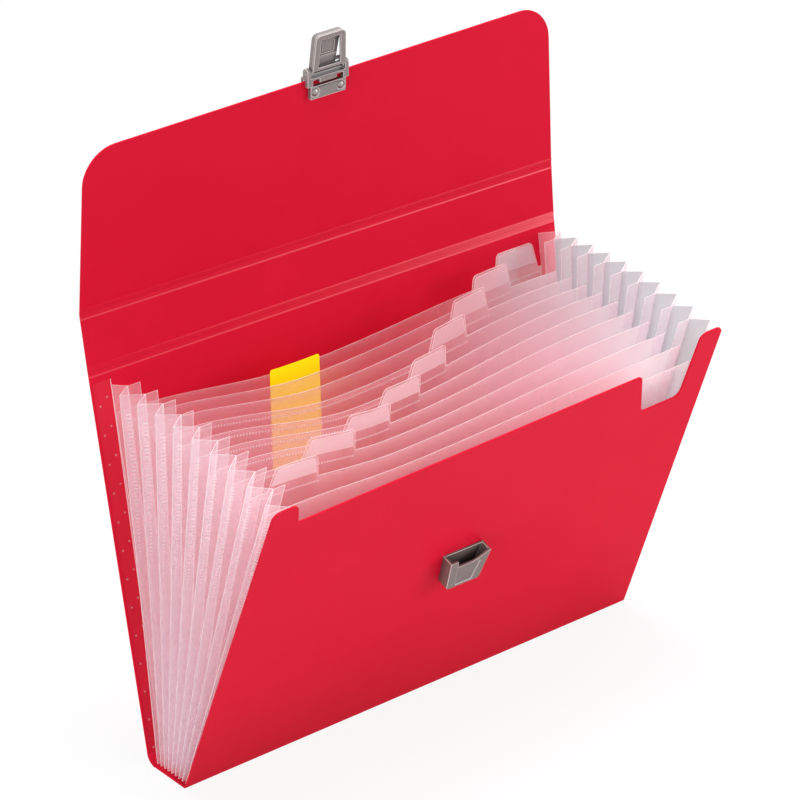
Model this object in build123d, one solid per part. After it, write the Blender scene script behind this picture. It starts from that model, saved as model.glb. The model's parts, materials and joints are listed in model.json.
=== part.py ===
import os
from math import cos, radians, sin

from build123d import *

# Expanding file folder: a creased plastic case stands open on its base spine, with a fan of clear
# pocket sheets inside.  Millimetres, X along the width, -Y to the front, +Z up.  The origin is the
# middle of the base spine's underside.

# Case
case_width = 330.0
case_sheet = 1.2
base_depth = 34.0
back_height = 233.0
front_height = 227.0
flap_spine_height = 33.4
flap_height = 99.2
back_lean = 10.3
front_lean = 20.6
flap_spine_lean = 7.9
flap_lean = -0.9
base_crease_width = 2.0
flap_crease_width = 5.5
crease_thickness = 0.6
flap_corner_radius = 21.0
case_corner_radius = 4.0

# Ears and cut-out along the front panel's top edge
ear_width = 17.0
ear_drop = 15.5
ear_flare = 4.0
ear_corner_radius = 5.0
notch_depth = 32.0
notch_width = 41.0
notch_slope = 10.0
notch_corner_radius = 5.0

# Bellows
pocket_count = 10
side_margin = 2.0
pleat_depth = 11.0
film_thickness = 0.4
divider_drop = 27.0
gusset_drop = 7.0
floor_clearance = 0.3

# Index tabs, their sleeves and the loose slip
tab_top_width = 27.0
tab_base_width = 33.0
tab_height = 16.0
tab_corner_radius = 4.0
first_tab_inset = 19.0
last_tab_inset = 29.0
sleeve_width = 29.0
sleeve_height = 11.0
sleeve_thickness = 0.3
sleeve_margin = 1.5
slip_width = 35.0
slip_height = 62.0
slip_rise = 8.0
slip_thickness = 0.3
slip_centre = -41.0
slip_corner_radius = 3.0

# Latch on the flap's edge
latch_width = 29.0
latch_ear = 2.4
latch_plate = 2.6
latch_bar_height = 1.3
latch_post_width = 3.8
latch_tab_width = 12.0
latch_tab_height = 2.2
edge_gap = 0.3
clamp_width = 24.8
clamp_height = 7.6
clamp_margin = 3.4
rivet_spacing = 18.0
rivet_radius = 1.3
rivet_head_radius = 2.4
rivet_head_height = 1.2
rivet_seat_radius = 2.8
rivet_seat_depth = 0.6
pin_radius = 1.0
pin_height = 5.1
pin_level = 0.8
pin_fit = 0.05
ear_radius = 2.4
lever_fit = 0.2
lever_gap = 0.25
lever_length = 21.4
lever_thickness = 4.0
lever_top_width = 21.6
lever_hub_radius = 1.9
lever_neck = 2.6
lever_neck_thickness = 2.4
lever_corner_radius = 3.6
lever_leg_width = 3.9
slot_foot_width = 3.2
slot_top_width = 1.6
slot_length = 12.0
slot_start = 5.2
tongue_gap = 1.2
recess_width = 8.6
recess_height = 7.0
recess_depth = 0.9
ridge_height = 1.0
ramp_height = 3.6
ramp_depth = 1.6

# Catch on the front panel
catch_foot = 100.5
catch_height = 22.0
catch_top_width = 29.4
catch_foot_width = 23.8
catch_depth = 8.0
catch_wall = 1.3
catch_foot_radius = 2.0
catch_post_width = 5.4
catch_post_flare = 1.2
catch_lip_drop = 4.6
catch_rise_width = 9.0
catch_rise_radius = 12.0
catch_panel_margin = 1.6
catch_panel_inset = 6.2
catch_panel_depth = 0.5
catch_peg_radius = 1.5
catch_peg_spacing = 14.0
catch_peg_rise = 8.0
catch_peg_fit = 0.05

half_sheet = case_sheet / 2
half_film = film_thickness / 2
half_width = case_width / 2


def leaning_plane(y, z, lean):
    """Plane of a sheet: local X along the width, local Y up the sheet, local Z to the front."""
    return Plane(origin=(0, y, z), x_dir=(1, 0, 0), z_dir=(0, -cos(radians(lean)), sin(radians(lean))))


def along(plane, height):
    """The same plane with its origin moved up the sheet."""
    return Plane(origin=plane.from_local_coords((0, height, 0)), x_dir=plane.x_dir, z_dir=plane.z_dir)


def outline(*corners):
    """Closed face through corners (x, y, radius), rounded where the radius isn't zero."""
    face = make_face(Polyline(*[(x, y) for x, y, radius in corners], close=True))
    for x, y, radius in corners:
        if radius > 0:
            face = fillet(face.vertices().sort_by_distance((x, y, 0))[0], radius)
    return face


def panel(plane, face, low, high):
    """Sheet of the given face, from level low to level high along the plane's normal."""
    return extrude(plane.offset(low) * face, high - low)


def block(plane, x0, x1, y0, y1, z0, z1):
    return panel(plane, outline((x0, y0, 0), (x1, y0, 0), (x1, y1, 0), (x0, y1, 0)), z0, z1)


def rod(plane, x, y, z0, z1, radius):
    return extrude(plane.offset(z0) * Pos(x, y) * Circle(radius), z1 - z0)


def cross_rod(plane, x0, x1, y, z, radius):
    """Rod along the width at a height on the sheet and a level in front of it."""
    start = plane.from_local_coords((x0, y, z))
    return extrude(Plane(origin=start, x_dir=plane.y_dir, z_dir=plane.x_dir) * Circle(radius), x1 - x0)


def crease(lower, lower_edge, upper, upper_edge, inner=1):
    """Thin web between the edges of two neighbouring case sheets."""
    half = crease_thickness / 2
    ring = [lower.from_local_coords((-half_width, lower_edge, level)) for level in (-half, half)]
    ring += [upper.from_local_coords((-half_width, upper_edge, inner * level)) for level in (half, -half)]
    return extrude(make_face(Polyline(*ring, close=True)), case_width, dir=(1, 0, 0))


parts = {}

# Case sheets
base_plane = Plane(origin=(0, 0, half_sheet), x_dir=(1, 0, 0), z_dir=(0, 0, 1))
back_plane = leaning_plane(base_depth / 2, half_sheet, back_lean)
front_plane = leaning_plane(-base_depth / 2, half_sheet, -front_lean)
spine_foot = back_plane.from_local_coords((0, back_height, 0))
spine_plane = leaning_plane(spine_foot.Y, spine_foot.Z, flap_spine_lean)
flap_foot = spine_plane.from_local_coords((0, flap_spine_height, 0))
flap_plane = leaning_plane(flap_foot.Y, flap_foot.Z, flap_lean)

base_edge = base_crease_width / 2
flap_edge = flap_crease_width / 2
base_reach = base_depth / 2 - base_edge

parts["base_spine"] = block(
    base_plane, -half_width, half_width, -base_reach, base_reach, -half_sheet, half_sheet
)
parts["back_panel"] = block(
    back_plane, -half_width, half_width, base_edge, back_height - flap_edge, -half_sheet, half_sheet
)
parts["flap_spine"] = block(
    spine_plane, -half_width, half_width, flap_edge, flap_spine_height - flap_edge, -half_sheet, half_sheet
)
rim = front_height - ear_drop
notch_right = half_width - ear_width
notch_left = notch_right - notch_width
front_face = outline(
    (-half_width, base_edge, 0),
    (half_width, base_edge, 0),
    (half_width, front_height, ear_corner_radius),
    (notch_right, front_height, ear_corner_radius),
    (notch_right, rim - notch_depth, notch_corner_radius),
    (notch_left + notch_slope, rim - notch_depth, notch_corner_radius),
    (notch_left, rim, case_corner_radius),
    (ear_width + ear_flare - half_width, rim, 0),
    (ear_width - half_width, front_height, ear_corner_radius),
    (-half_width, front_height, ear_corner_radius),
)
peg_height = catch_foot + catch_peg_rise
peg_places = [(-catch_peg_spacing / 2, peg_height), (catch_peg_spacing / 2, peg_height)]
front_panel = panel(front_plane, front_face, -half_sheet, half_sheet)
for x, y in peg_places:
    front_panel -= rod(front_plane, x, y, -case_sheet, case_sheet, catch_peg_radius + catch_peg_fit)
parts["front_panel"] = front_panel

flap_face = outline(
    (-half_width, flap_edge, 0),
    (half_width, flap_edge, 0),
    (half_width, flap_height, flap_corner_radius),
    (-half_width, flap_height, flap_corner_radius),
)
clamp_top = flap_height - clamp_margin
clamp_foot = clamp_top - clamp_height
rivet_height = clamp_foot + clamp_height / 2
rivet_places = [(-rivet_spacing / 2, rivet_height), (rivet_spacing / 2, rivet_height)]
flap_panel = panel(flap_plane, flap_face, -half_sheet, half_sheet)
for x, y in rivet_places:
    flap_panel -= rod(flap_plane, x, y, -case_sheet, case_sheet, rivet_radius + pin_fit)
parts["flap_panel"] = flap_panel

# Creases between the case sheets
base_back_edge = Plane(origin=(0, base_depth / 2, half_sheet), x_dir=(1, 0, 0), z_dir=(0, 0, 1))
base_front_edge = Plane(origin=(0, -base_depth / 2, half_sheet), x_dir=(1, 0, 0), z_dir=(0, 0, 1))
parts["base_back_crease"] = crease(base_back_edge, -base_edge, back_plane, base_edge)
parts["base_front_crease"] = crease(base_front_edge, base_edge, front_plane, base_edge, inner=-1)
parts["flap_lower_crease"] = crease(along(back_plane, back_height), -flap_edge, spine_plane, flap_edge)
parts["flap_upper_crease"] = crease(along(spine_plane, flap_spine_height), -flap_edge, flap_plane, flap_edge)

# Pocket sheets fan out from the back panel to the front panel
sheet_start = half_sheet + floor_clearance
back_offset = half_sheet + half_film
foot_back = back_plane.from_local_coords((0, 0, back_offset)).Y
foot_front = front_plane.from_local_coords((0, 0, -back_offset)).Y
back_foot_height = back_plane.from_local_coords((0, 0, back_offset)).Z
front_foot_height = front_plane.from_local_coords((0, 0, -back_offset)).Z
sheet_planes = []
for number in range(pocket_count + 1):
    share = number / pocket_count
    lean = back_lean - (back_lean + front_lean) * share
    y = foot_back + (foot_front - foot_back) * share
    z = back_foot_height + (front_foot_height - back_foot_height) * share
    sheet_planes.append(leaning_plane(y, z, lean))

fold_reach = half_width - side_margin
half_pocket = fold_reach - pleat_depth
divider_height = back_height - divider_drop
gusset_height = back_height - gusset_drop


def divider_face(tab_centre):
    """Pocket sheet with an index tab on its top edge."""
    return outline(
        (-half_pocket, sheet_start, 0),
        (half_pocket, sheet_start, 0),
        (half_pocket, divider_height, 0),
        (tab_centre + tab_base_width / 2, divider_height, 0),
        (tab_centre + tab_top_width / 2, divider_height + tab_height, tab_corner_radius),
        (tab_centre - tab_top_width / 2, divider_height + tab_height, tab_corner_radius),
        (tab_centre - tab_base_width / 2, divider_height, 0),
        (-half_pocket, divider_height, 0),
    )


def plain_face():
    """Pocket sheet with a straight top edge."""
    return outline(
        (-half_pocket, sheet_start, 0),
        (half_pocket, sheet_start, 0),
        (half_pocket, divider_height, 0),
        (-half_pocket, divider_height, 0),
    )


def sheet_name(number):
    if number == 0:
        return "bellows_back_sheet"
    if number == pocket_count:
        return "bellows_front_sheet"
    return f"pocket_divider_{number:02d}"


tab_count = pocket_count - 1
first_tab_centre = half_pocket - first_tab_inset
last_tab_centre = last_tab_inset - half_pocket
tab_step = (last_tab_centre - first_tab_centre) / (tab_count - 1)
for number, plane in enumerate(sheet_planes):
    if number < tab_count:
        centre = first_tab_centre + tab_step * number
        parts[sheet_name(number)] = panel(plane, divider_face(centre), -half_film, half_film)
        sleeve_top = divider_height + tab_height - sleeve_margin
        sleeve = outline(
            (centre - sleeve_width / 2, sleeve_top - sleeve_height, 0),
            (centre + sleeve_width / 2, sleeve_top - sleeve_height, 0),
            (centre + tab_top_width / 2 - sleeve_margin, sleeve_top, tab_corner_radius - sleeve_margin),
            (centre - tab_top_width / 2 + sleeve_margin, sleeve_top, tab_corner_radius - sleeve_margin),
        )
        sleeve_front = half_film + sleeve_thickness
        parts[f"index_sleeve_{number + 1:02d}"] = panel(plane, sleeve, half_film, sleeve_front)
    else:
        parts[sheet_name(number)] = panel(plane, plain_face(), -half_film, half_film)

slip_top = divider_height + slip_rise
slip = outline(
    (slip_centre - slip_width / 2, slip_top - slip_height, 0),
    (slip_centre + slip_width / 2, slip_top - slip_height, 0),
    (slip_centre + slip_width / 2, slip_top, slip_corner_radius),
    (slip_centre - slip_width / 2, slip_top, slip_corner_radius),
)
parts["index_slip"] = panel(sheet_planes[0], slip, half_film, half_film + slip_thickness)


# Gusset pleats close the pockets at both ends
def pleat_section(lower, upper, height, side):
    """Folded end section between two pocket sheets, at a height on them."""
    near = lower.from_local_coords((0, height, 0))
    far = upper.from_local_coords((0, height, 0))
    half_gap = (far - near).length / 2
    leg = (half_gap**2 + pleat_depth**2) ** 0.5
    thick = film_thickness * leg / pleat_depth
    depth = film_thickness * leg / half_gap
    middle = (near + far) / 2
    plane = Plane(origin=middle, x_dir=(1, 0, 0), z_dir=(far - near).cross(Vector(1, 0, 0)))
    ring = [
        (side * half_pocket, -half_gap),
        (side * fold_reach, 0),
        (side * half_pocket, half_gap),
        (side * half_pocket, half_gap - thick),
        (side * (fold_reach - depth), 0),
        (side * half_pocket, thick - half_gap),
    ]
    return plane * make_face(Polyline(*ring, close=True))


for number in range(pocket_count):
    lower, upper = sheet_planes[number], sheet_planes[number + 1]
    for side, label in ((-1, "left"), (1, "right")):
        sections = [pleat_section(lower, upper, height, side) for height in (sheet_start, gusset_height)]
        parts[f"gusset_{label}_{number + 1:02d}"] = loft(sections, ruled=True)

# Latch: a bracket and a clamp plate riveted to the flap's edge carry a snap lever on a pin
latch_half = latch_width / 2
pin_place = flap_height + pin_height
bar_foot = flap_height + edge_gap
bar_top = bar_foot + latch_bar_height
stack = half_sheet + latch_plate
ear_front = pin_level + ear_radius
bracket = block(flap_plane, -latch_half, latch_half, clamp_foot, bar_foot, -stack, -half_sheet)
bracket += block(flap_plane, -latch_half, latch_half, bar_foot, bar_top, -stack, ear_front)
bar_tab = (-latch_tab_width / 2, latch_tab_width / 2)
bracket += block(flap_plane, *bar_tab, bar_foot - latch_tab_height, bar_foot, half_sheet, ear_front)
for side in (-1, 1):
    post = sorted((side * (latch_half - latch_post_width), side * latch_half))
    bracket += block(flap_plane, *post, clamp_top, bar_foot, half_sheet, ear_front)
    ear = sorted((side * (latch_half - latch_ear), side * latch_half))
    bracket += block(flap_plane, *ear, bar_foot, pin_place, pin_level - ear_radius, ear_front)
    bracket += cross_rod(flap_plane, *ear, pin_place, pin_level, ear_radius)
bracket -= cross_rod(flap_plane, -latch_width, latch_width, pin_place, pin_level, pin_radius + pin_fit)
clamp = block(flap_plane, -clamp_width / 2, clamp_width / 2, clamp_foot, clamp_top, half_sheet, stack)
seat = stack - rivet_seat_depth
for x, y in rivet_places:
    hole = rod(flap_plane, x, y, -2 * stack, 2 * stack, rivet_radius + pin_fit)
    bracket -= hole
    bracket -= rod(flap_plane, x, y, -2 * stack, -seat, rivet_seat_radius)
    clamp -= hole
    clamp -= rod(flap_plane, x, y, seat, 2 * stack, rivet_seat_radius)
parts["latch_bracket"] = bracket
parts["latch_clamp_plate"] = clamp

dome_radius = (rivet_head_radius**2 + rivet_head_height**2) / (2 * rivet_head_height)
dome_level = seat + rivet_head_height - dome_radius
for (x, y), label in zip(rivet_places, ("left", "right")):
    rivet = rod(flap_plane, x, y, -seat, seat, rivet_radius)
    for side in (-1, 1):
        levels = sorted((side * seat, side * (seat + rivet_head_height)))
        dome = flap_plane * Pos(x, y, side * dome_level) * Sphere(dome_radius)
        rivet += rod(flap_plane, x, y, *levels, rivet_head_radius) & dome
    parts[f"latch_rivet_{label}"] = rivet
parts["latch_pin"] = cross_rod(flap_plane, -latch_half, latch_half, pin_place, pin_level, pin_radius)

# Lever: a frame with a tongue that hangs from its top bar, on a hub round the pin
lever_plane = flap_plane.offset(pin_level)
lever_half = latch_half - latch_ear - lever_gap
lever_foot = pin_place + lever_neck
lever_top = pin_place + lever_length
lever_face = outline(
    (-lever_half, lever_foot, 0),
    (lever_half, lever_foot, 0),
    (lever_top_width / 2, lever_top, lever_corner_radius),
    (-lever_top_width / 2, lever_top, lever_corner_radius),
)
lever_level = lever_thickness / 2
neck_level = lever_neck_thickness / 2
lever = panel(lever_plane, lever_face, -lever_level, lever_level)
lever += block(lever_plane, -lever_half, lever_half, pin_place, lever_foot, -neck_level, neck_level)
lever += cross_rod(lever_plane, -lever_half, lever_half, pin_place, 0, lever_hub_radius)
lever -= cross_rod(lever_plane, -latch_width, latch_width, pin_place, 0, pin_radius + lever_fit)
slot_foot = pin_place + slot_start
slot_top = slot_foot + slot_length
slot_reach = lever_half - lever_leg_width
tongue_half = slot_reach - slot_foot_width
for side in (-1, 1):
    slot = outline(
        (side * tongue_half, slot_foot, 0),
        (side * slot_reach, slot_foot, 0),
        (side * slot_reach, slot_top, 0),
        (side * (slot_reach - slot_top_width), slot_top, 0),
    )
    lever -= panel(lever_plane, slot, -lever_thickness, lever_thickness)
lever -= block(
    lever_plane, -slot_reach, slot_reach, slot_foot - tongue_gap, slot_foot, -lever_thickness, lever_thickness
)
ramp_top = slot_foot + ramp_height
ramp_corners = [(ramp_top, lever_level), (slot_foot, lever_level), (slot_foot, lever_level - ramp_depth)]
ramp_ring = [lever_plane.from_local_coords((-tongue_half, *corner)) for corner in ramp_corners]
lever -= extrude(make_face(Polyline(*ramp_ring, close=True)), 2 * tongue_half, dir=(1, 0, 0))
recess_foot = ramp_top + ridge_height
lever -= block(
    lever_plane, -recess_width / 2, recess_width / 2, recess_foot, recess_foot + recess_height,
    lever_level - recess_depth, lever_thickness,
)
parts["latch_lever"] = lever

# Catch: an open-topped pocket on the front panel's face, with a lowered front lip
catch_top = catch_foot + catch_height
catch_face = outline(
    (-catch_foot_width / 2, catch_foot, catch_foot_radius),
    (catch_foot_width / 2, catch_foot, catch_foot_radius),
    (catch_top_width / 2, catch_top, 0),
    (-catch_top_width / 2, catch_top, 0),
)
pocket_face = outline(
    (catch_wall - catch_foot_width / 2, catch_foot + catch_wall, 0),
    (catch_foot_width / 2 - catch_wall, catch_foot + catch_wall, 0),
    (catch_top_width / 2 - catch_wall, catch_top, 0),
    (catch_wall - catch_top_width / 2, catch_top, 0),
)
lip_left = catch_post_width - catch_top_width / 2
lip_right = catch_top_width / 2 - catch_wall
lip_level = catch_top - catch_lip_drop
lip_face = outline(
    (lip_left, catch_top, 0),
    (lip_left + catch_post_flare, lip_level, 0),
    (lip_right - catch_rise_width, lip_level, catch_rise_radius),
    (lip_right, catch_top, 0),
)
recess_foot_half = catch_foot_width / 2 - catch_panel_inset
recess_top_half = catch_top_width / 2 - catch_panel_inset
recess_face = outline(
    (-recess_foot_half, catch_foot + catch_panel_margin, 0),
    (recess_foot_half, catch_foot + catch_panel_margin, 0),
    (recess_top_half, lip_level - catch_panel_margin, 0),
    (-recess_top_half, lip_level - catch_panel_margin, 0),
)
catch_front = half_sheet + catch_depth
catch = panel(front_plane, catch_face, half_sheet, catch_front)
catch -= panel(front_plane, pocket_face, half_sheet + catch_wall, catch_front - catch_wall)
catch -= panel(front_plane, lip_face, catch_front - catch_wall, catch_front)
catch -= panel(front_plane, recess_face, catch_front - catch_panel_depth, catch_front)
for x, y in peg_places:
    catch += rod(front_plane, x, y, -half_sheet, half_sheet, catch_peg_radius)
parts["catch_housing"] = catch

os.makedirs("parts", exist_ok=True)
for name, solid in parts.items():
    export_step(solid, os.path.join("parts", name + ".step"))
print(len(parts), "sub-parts; case opening at the rim:",
      round(sheet_planes[0].from_local_coords((0, divider_height, 0)).Y
            - sheet_planes[-1].from_local_coords((0, divider_height, 0)).Y, 1), "mm")
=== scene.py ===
import json
from math import atan2, cos, degrees, exp, hypot, pi, radians, sin, tan

import bpy
from mathutils import Matrix, Vector


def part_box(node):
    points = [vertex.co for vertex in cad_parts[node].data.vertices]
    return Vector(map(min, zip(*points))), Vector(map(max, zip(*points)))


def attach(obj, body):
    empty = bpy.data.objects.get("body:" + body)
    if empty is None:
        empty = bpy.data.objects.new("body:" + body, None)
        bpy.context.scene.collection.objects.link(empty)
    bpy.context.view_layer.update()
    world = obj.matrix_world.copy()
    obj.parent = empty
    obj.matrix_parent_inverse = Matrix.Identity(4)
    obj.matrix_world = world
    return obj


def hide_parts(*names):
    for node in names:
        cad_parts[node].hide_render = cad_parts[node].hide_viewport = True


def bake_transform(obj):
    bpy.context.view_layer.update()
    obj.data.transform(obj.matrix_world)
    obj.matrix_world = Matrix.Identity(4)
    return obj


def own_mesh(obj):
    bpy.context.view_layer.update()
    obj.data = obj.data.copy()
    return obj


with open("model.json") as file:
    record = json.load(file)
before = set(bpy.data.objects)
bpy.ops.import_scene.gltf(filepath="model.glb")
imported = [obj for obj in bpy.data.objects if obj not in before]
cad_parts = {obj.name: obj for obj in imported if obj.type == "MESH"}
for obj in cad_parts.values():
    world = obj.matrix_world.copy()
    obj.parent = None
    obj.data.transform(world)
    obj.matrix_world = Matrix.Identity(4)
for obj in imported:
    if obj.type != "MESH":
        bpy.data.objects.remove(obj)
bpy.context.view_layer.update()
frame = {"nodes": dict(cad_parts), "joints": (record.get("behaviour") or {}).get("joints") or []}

# Expanding file folder: red polypropylene case, frosted bellows, grey latch and catch.
# Sizes are in millimetres and degrees.  X runs along the width, -Y is the front, Z is up.
# Each sheet has terms of its own: x along the width, v up the sheet, w out of its front face.

MM = 0.001
joints = {joint["name"]: joint for joint in frame["joints"]}


def hinge(name):
    """Place of a fold's axis, as (y, z)."""
    place = joints[name]["pos_m"]
    return place[1] / MM, place[2] / MM


def size(node, axis):
    """Extent of a CAD node along an axis."""
    low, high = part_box(node)
    return (high[axis] - low[axis]) / MM


# Case
case_width = size("back_panel", 0)
half_width = case_width / 2
case_sheet = size("base_spine", 2)
front_lean = 20.6
flap_lean = -0.9
front_height = 227.0
flap_height = 99.2
flap_corner = 21.0
ear_width = 17.0
ear_drop = 15.5
ear_flare = 4.0
ear_corner = 5.0
notch_width = 41.0
notch_depth = 32.0
notch_slope = 10.0
notch_wall_slope = 1.0
notch_corner = 5.0
rim_corner = 4.0
back_corner_radius = 6.5
front_corner_radius = 2.0
score_offset = 2.75
score_width = 0.5
score_height = 0.08
# Painted sheen along the scored creases, which grows towards the right end
crease_sheen_start = -150.0
crease_sheen_end = 170.0
crease_sheen_power = 3
lower_score_sheen = 0.4
upper_score_sheen = 0.2
edge_radius = 0.25
panel_rows = 10
panel_spacing = 6.0
fold_spacing = 8.0
base_spacing = 20.0

# The open case is skewed: its left end stands wider than its right end
back_twist = 1.19
front_twist = -1.27
spine_twist = 2.45
flap_twist = -4.26

# Bellows
pocket_count = 10
half_pocket = size("pocket_divider_09", 0) / 2
pleat_depth = size("gusset_left_01", 0)
film = 0.4
film_spacing = 4.0
film_rows = 14
# Painted light on the film: it whitens along each sheet's top edge and towards the right end, less on the
# front sheet
edge_fade = 9.0
edge_painted_light = 0.35
painted_light_start = -20.0
painted_light_end = 140.0
front_painted_light = 0.15
divider_height = 206.0
gusset_height = 226.0
sheet_start = 0.9
bow_depth = 22.0
bow_peak = -52.0
bow_left_reach = 86.0
bow_right_reach = 185.0
bow_rise = 1.6
bow_fade = 6
flange_width = 8.0
first_left_pleat = 5.0

# Share of its depth that a piece would keep in the closed case
sheet_keep = 0.02
ridge_keep = 0.04
pleat_keep = 0.09
score_keep = 0.1

# Welds
weld_pitch = 2.2
weld_width = 0.9
weld_height = 0.25
weld_taper = 0.3
seam_start = 0.65
seam_end = 0.83
seam_foot = 128.0
seam_fade = 60.0
seam_least = 0.2
seam_drop = 12.0
line_drop = 3.0
line_height = 1.3
line_pitch = 1.7
first_line = 3
margin_reach = 11.5
margin_level = 0.15
spot_pitch = 17.0
spot_radius = 0.6
outer_spot_inset = 2.5
inner_spot_inset = 7.5

# Index tabs, sleeves and slip
tab_top_width = 27.0
tab_base_width = 33.0
tab_height = 16.0
tab_corner = 3.2
first_tab = half_pocket - 19.0
last_tab = 29.0 - half_pocket
sleeve_width = 29.0
sleeve_height = 11.0
sleeve_film = 0.3
sleeve_margin = 1.5
sleeve_rows = 3
sleeve_side = 0.5
slip_centre = -45.5
slip_width = 35.0
slip_height = 62.0
slip_rise = 2.5
slip_corner = 1.5
slip_paper = 0.3
slip_rows = 8
slip_side = 1.0
slip_taper = 0.4

# Latch
latch_edge_radius = 0.3
latch_edge_angle = 30.0
joined_gap = 0.01
lever_lean = 5.0
lever_height = 22.2
lever_foot = 0.9
lever_foot_half = 11.6
lever_top_half = 10.3
lever_corner = 3.0
lever_wall = 1.2
lever_back = -1.2
lever_face = 2.0
lever_front = 3.3
lever_edge = 0.3
window_foot = 2.6
window_top = 19.3
window_foot_half = 7.7
window_top_half = 6.7
tongue_foot = 2.0
tongue_top = 20.4
tongue_foot_half = 6.0
tongue_top_half = 8.6
tongue_level = 0.6
slit_half = 4.4
slit_foot = 9.6
slit_top = 16.0
slit_width = 0.7
backing_margin = 1.0
lip_margin = 1.2
lip_drop = 1.0
lip_height = 1.6
wall_overlap = 0.2
hub_radius = 1.9
hub_overhang = 0.2
collar_width = 2.0
collar_step = 0.3
peg_radius = 1.1
peg_height = 4.3
peg_overlap = 0.5

# Camera, on a sensor 36 mm wide
eye = Vector((-1290.96, -1571.64, 1239.83))
camera_right = Vector((0.77272, -0.63474, 0.00273))
camera_up = Vector((0.29057, 0.35756, 0.88754))
lens = 182.94
sensor = 36.0
view_reach = 20000.0

# Stage
floor_reach = 4000.0
floor_white = 0.9
sky_level = 0.45

# Finishes
mottle = 60.0
grain_depth = 0.1
gloss_spread = 0.05
# Reach of the painted shade in corners and slots
painted_shade_reach = 5.0
plastic_ior = 1.49


# Materials


def linear(code):
    """Linear colour of an sRGB hex code."""
    channels = [int(code[i:i + 2], 16) / 255 for i in (1, 3, 5)]
    return [c / 12.92 if c <= 0.04045 else ((c + 0.055) / 1.055) ** 2.4 for c in channels] + [1.0]


def add(tree, kind, inputs=None, **settings):
    """Adds a node with its settings, and fills its inputs with values or with other nodes' outputs."""
    made = tree.nodes.new(kind)
    for name, value in settings.items():
        setattr(made, name, value)
    for name, value in (inputs or {}).items():
        if isinstance(value, bpy.types.NodeSocket):
            tree.links.new(value, made.inputs[name])
        else:
            made.inputs[name].default_value = value
    return made


def per_metre(spacing):
    """Scale of a noise whose features lie that many millimetres apart."""
    return 1 / (spacing * MM)


def grained(
    name, light, dark, rough, grain, relief,
    specular=0.5, metallic=0.0, veil=None, painted_light_veil=None, painted_light_colour=None, painted_shade=None, glow=0.0,
):
    """Surface with a fine grain: a slow mottle in its colour, and the grain in roughness and relief.

    A film has a veil: the share of light that one face scatters, half back and half onwards.
    Where the mesh's share of painted light is 1, the veil and the colour may be others: painted light on the
    film, and a painted sheen on the creases.
    A shade colour is painted shade in corners and slots, and a glow is painted light that the surface gives
    off.
    """
    material = bpy.data.materials.new(name)
    material.use_nodes = True
    tree = material.node_tree
    tree.nodes.clear()
    where = add(tree, "ShaderNodeTexCoord").outputs["Object"]
    cloud = add(tree, "ShaderNodeTexNoise", {"Vector": where, "Scale": per_metre(mottle), "Detail": 3.0})
    fine = add(tree, "ShaderNodeTexNoise", {"Vector": where, "Scale": per_metre(grain), "Detail": 2.0})
    tone = add(
        tree, "ShaderNodeMix",
        {"Factor": cloud.outputs["Fac"], "A": linear(dark), "B": linear(light)},
        data_type="RGBA",
    )
    # Painted shade: the colour darkens where ambient occlusion finds corners and slots
    if painted_shade is not None:
        open_share = add(tree, "ShaderNodeAmbientOcclusion", {"Distance": painted_shade_reach * MM}, samples=8)
        tone = add(
            tree, "ShaderNodeMix",
            {"Factor": open_share.outputs["AO"], "A": linear(painted_shade), "B": tone.outputs["Result"]},
            data_type="RGBA",
        )
    # Painted light: a lighter colour where the mesh's share of it is 1
    if painted_light_colour is not None:
        edge = add(tree, "ShaderNodeAttribute", attribute_name="painted_light_share")
        tone = add(
            tree, "ShaderNodeMix",
            {"Factor": edge.outputs["Fac"], "A": tone.outputs["Result"], "B": linear(painted_light_colour)},
            data_type="RGBA",
        )
    gloss = add(
        tree, "ShaderNodeMapRange",
        {"Value": fine.outputs["Fac"], "To Min": rough - gloss_spread, "To Max": rough + gloss_spread},
    )
    bump = add(
        tree, "ShaderNodeBump",
        {"Height": fine.outputs["Fac"], "Strength": relief, "Distance": grain_depth * MM},
    )
    finish = {
        "Base Color": tone.outputs["Result"],
        "Roughness": gloss.outputs["Result"],
        "Metallic": metallic,
        "Specular IOR Level": specular,
        "Normal": bump.outputs["Normal"],
    }
    if not metallic:
        finish["IOR"] = plastic_ior
    # The glow is painted light: the surface gives off light of its own
    if glow:
        finish["Emission Color"] = tone.outputs["Result"]
        finish["Emission Strength"] = glow
    surface = add(tree, "ShaderNodeBsdfPrincipled", finish).outputs["BSDF"]
    if veil is not None:
        onwards = add(tree, "ShaderNodeBsdfTranslucent", {"Color": tone.outputs["Result"]})
        scatter = add(tree, "ShaderNodeMixShader", {0: 0.5, 1: surface, 2: onwards.outputs[0]})
        clear = add(tree, "ShaderNodeBsdfTransparent")
        if painted_light_veil is not None:
            amount = add(
                tree, "ShaderNodeMapRange",
                {"Value": edge.outputs["Fac"], "To Min": veil, "To Max": painted_light_veil},
            )
            veil = amount.outputs["Result"]
        cover = add(tree, "ShaderNodeMixShader", {0: veil, 1: clear.outputs[0], 2: scatter.outputs[0]})
        surface = cover.outputs[0]
    add(tree, "ShaderNodeOutputMaterial", {"Surface": surface})
    return material


# The real grains are a few tenths of a millimetre across.  A pixel of the render is about 0.6 mm wide, so the
# grains are drawn coarser, at 0.7 to 2 mm, to show at all.

# Extruded polypropylene sheet with a satin face: an even, strong red with very little shine
red_sheet = grained(
    "satin_red_polypropylene", "#DB1A37", "#D31632", rough=0.45, grain=1.4, relief=0.1, specular=0.03
)

# The same sheet pressed by a scoring rule: it shows as a fine line, with a painted sheen that grows paler
# towards the right end
red_crease = grained(
    "scored_red_polypropylene_with_painted_sheen", "#DB1A37", "#D31632", rough=0.36, grain=1.4, relief=0.08, specular=0.08,
    painted_light_colour="#EE5D68",
)

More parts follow.
